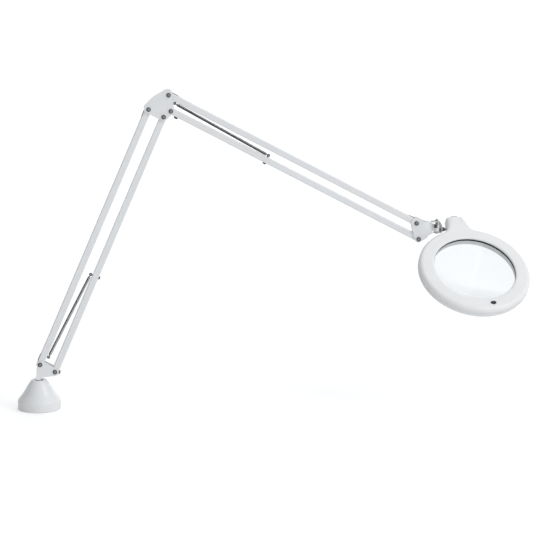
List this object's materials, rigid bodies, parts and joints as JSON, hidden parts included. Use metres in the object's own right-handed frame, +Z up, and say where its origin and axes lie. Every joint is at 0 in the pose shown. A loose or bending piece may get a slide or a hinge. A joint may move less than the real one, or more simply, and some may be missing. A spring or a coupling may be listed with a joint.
{
  "type": "magnifying lamp",
  "caption": "Bench magnifying lamp: a round lighted head with a large lens on a sprung two-section parallelogram arm that swivels on a small conical base.",
  "frame": {"origin": "centre of the base's underside", "axes": "+Z up; the arm lies in the XZ plane and reaches towards +X; the head's lens faces the user on the -Y side"},
  "size_m": [0.7632, 0.1666, 0.4825],
  "materials": {
    "white_paint": "satin white enamel",
    "white_plastic": "soft gloss moulded ABS",
    "zinc_steel": "zinc plated",
    "bright_steel": "bright zinc plated strip",
    "dark_steel": "blackened steel",
    "spring_steel": "drawn spring wire",
    "black_rubber": "matt",
    "lead_sheath": "matt extruded sheath",
    "grey_plastic": "matt",
    "lens_glass": "polished",
    "board_white": "solder mask",
    "board_green": "solder mask",
    "diffuser_white": "frosted",
    "badge_metal": "anodised"
  },
  "bodies": {
    "base": {"base_cover": "white_paint", "foot_pad": "black_rubber", "base_plate": "zinc_steel", "stem_socket": "zinc_steel", "stem_bush": "black_rubber"},
    "shoulder": {"shoulder_bracket": "white_paint", "swivel_stem": "zinc_steel", "shoulder_rear_screw": "zinc_steel", "shoulder_rear_nut": "zinc_steel", "shoulder_front_screw": "zinc_steel", "shoulder_front_nut": "zinc_steel"},
    "lower_rear": {"lower_rear_bar": "white_paint", "lower_lead_start": "lead_sheath", "lower_lead_end": "lead_sheath", "lower_spring_hook": "dark_steel", "lower_spring": "spring_steel"},
    "lower_front": {"lower_front_bar": "white_paint", "lower_spring_bolt": "dark_steel", "lower_spring_nut": "dark_steel", "lower_stop_screw": "dark_steel"},
    "lower_spring_tip": {"lower_spring_end": "spring_steel"},
    "elbow": {"elbow_bracket": "white_paint", "elbow_left_screw": "zinc_steel", "elbow_left_nut": "zinc_steel", "elbow_bottom_screw": "zinc_steel", "elbow_bottom_nut": "zinc_steel", "elbow_top_screw": "zinc_steel", "elbow_top_nut": "zinc_steel", "elbow_right_screw": "zinc_steel", "elbow_right_nut": "zinc_steel"},
    "upper_top": {"upper_top_bar": "white_paint", "upper_lead_start": "lead_sheath", "upper_lead_end": "lead_sheath", "upper_spring_hook": "dark_steel", "upper_spring": "spring_steel"},
    "upper_bottom": {"upper_bottom_bar": "white_paint", "upper_spring_bolt": "dark_steel", "upper_spring_nut": "dark_steel", "upper_stop_screw": "dark_steel"},
    "upper_spring_tip": {"upper_spring_end": "spring_steel"},
    "wrist": {"wrist_bracket": "white_paint", "wrist_upper_screw": "zinc_steel", "wrist_upper_nut": "zinc_steel", "wrist_lower_screw": "zinc_steel", "wrist_lower_nut": "zinc_steel"},
    "lock_screw": {"pan_lock_screw": "dark_steel"},
    "yoke": {"yoke": "bright_steel", "swivel_pin": "zinc_steel", "tilt_pin": "zinc_steel", "tilt_washer": "dark_steel"},
    "head": {"head_upper_housing": "white_plastic", "head_lower_housing": "white_plastic", "lens": "lens_glass", "lens_retainer": "black_rubber", "led_board": "board_white", "diffuser": "diffuser_white", "driver_board": "board_green", "badge": "badge_metal"},
    "switch": {"switch_button": "grey_plastic"}
  },
  "joints": [
    {"name": "base_swivel", "type": "hinge", "parent": "base", "child": "shoulder", "pos_m": [0, 0, 0.045], "axis": [0, 0, 1], "range_deg": [-170, 170]},
    {"name": "lower_arm", "type": "hinge", "parent": "shoulder", "child": "lower_rear", "pos_m": [0.002, 0, 0.069], "axis": [0, 1, 0], "range_deg": [-25, 45]},
    {"name": "lower_front_link", "type": "hinge", "parent": "shoulder", "child": "lower_front", "pos_m": [0.0243, 0, 0.0576], "axis": [0, 1, 0], "range_deg": [-25, 45]},
    {"name": "lower_spring_stretch", "type": "slide", "parent": "lower_rear", "child": "lower_spring_tip", "axis": [0.2077, 0, 0.9782], "range_m": [-0.012, 0.0205], "deforming": ["lower_spring", "lower_spring_end"]},
    {"name": "elbow_level", "type": "hinge", "parent": "lower_rear", "child": "elbow", "pos_m": [0.16754, 0, 0.45337], "axis": [0, 1, 0], "range_deg": [-45, 25]},
    {"name": "upper_arm", "type": "hinge", "parent": "elbow", "child": "upper_top", "pos_m": [0.19724, 0, 0.47457], "axis": [0, 1, 0], "range_deg": [-50, 15]},
    {"name": "upper_bottom_link", "type": "hinge", "parent": "elbow", "child": "upper_bottom", "pos_m": [0.20054, 0, 0.45057], "axis": [0, 1, 0], "range_deg": [-50, 15]},
    {"name": "upper_spring_stretch", "type": "slide", "parent": "upper_top", "child": "upper_spring_tip", "axis": [0.9434, 0, -0.3317], "range_m": [-0.022, 0.007], "deforming": ["upper_spring", "upper_spring_end"]},
    {"name": "wrist_level", "type": "hinge", "parent": "upper_top", "child": "wrist", "pos_m": [0.56709, 0, 0.27874], "axis": [0, 1, 0], "range_deg": [-15, 50]},
    {"name": "pan_lock_turn", "type": "hinge", "parent": "wrist", "child": "lock_screw", "pos_m": [0.598, 0, 0.2738], "axis": [-0.342, -0.9397, 0], "range_deg": [0, 360]},
    {"name": "head_pan", "type": "hinge", "parent": "wrist", "child": "yoke", "pos_m": [0.598, 0, 0.2678], "axis": [0, 0, 1], "range_deg": [-35, 95]},
    {"name": "head_tilt", "type": "hinge", "parent": "yoke", "child": "head", "pos_m": [0.63125, 0.00756, 0.2678], "axis": [0.9751, 0.2215, 0], "range_deg": [-40, 45]},
    {"name": "switch_press", "type": "slide", "parent": "head", "child": "switch", "axis": [0.1792, -0.7889, -0.5878], "range_m": [0, 0.0012], "stiffness_N_per_m": 600, "springref_m": -0.0005}
  ],
  "couplings": [
    {"joint": "lower_front_link", "follows": "lower_arm", "ratio": 1},
    {"joint": "lower_spring_stretch", "follows": "lower_arm", "m_per_rad": 0.025},
    {"joint": "elbow_level", "follows": "lower_arm", "ratio": -1},
    {"joint": "upper_bottom_link", "follows": "upper_arm", "ratio": 1},
    {"joint": "upper_spring_stretch", "follows": "upper_arm", "m_per_rad": 0.0242},
    {"joint": "wrist_level", "follows": "upper_arm", "ratio": -1}
  ]
}
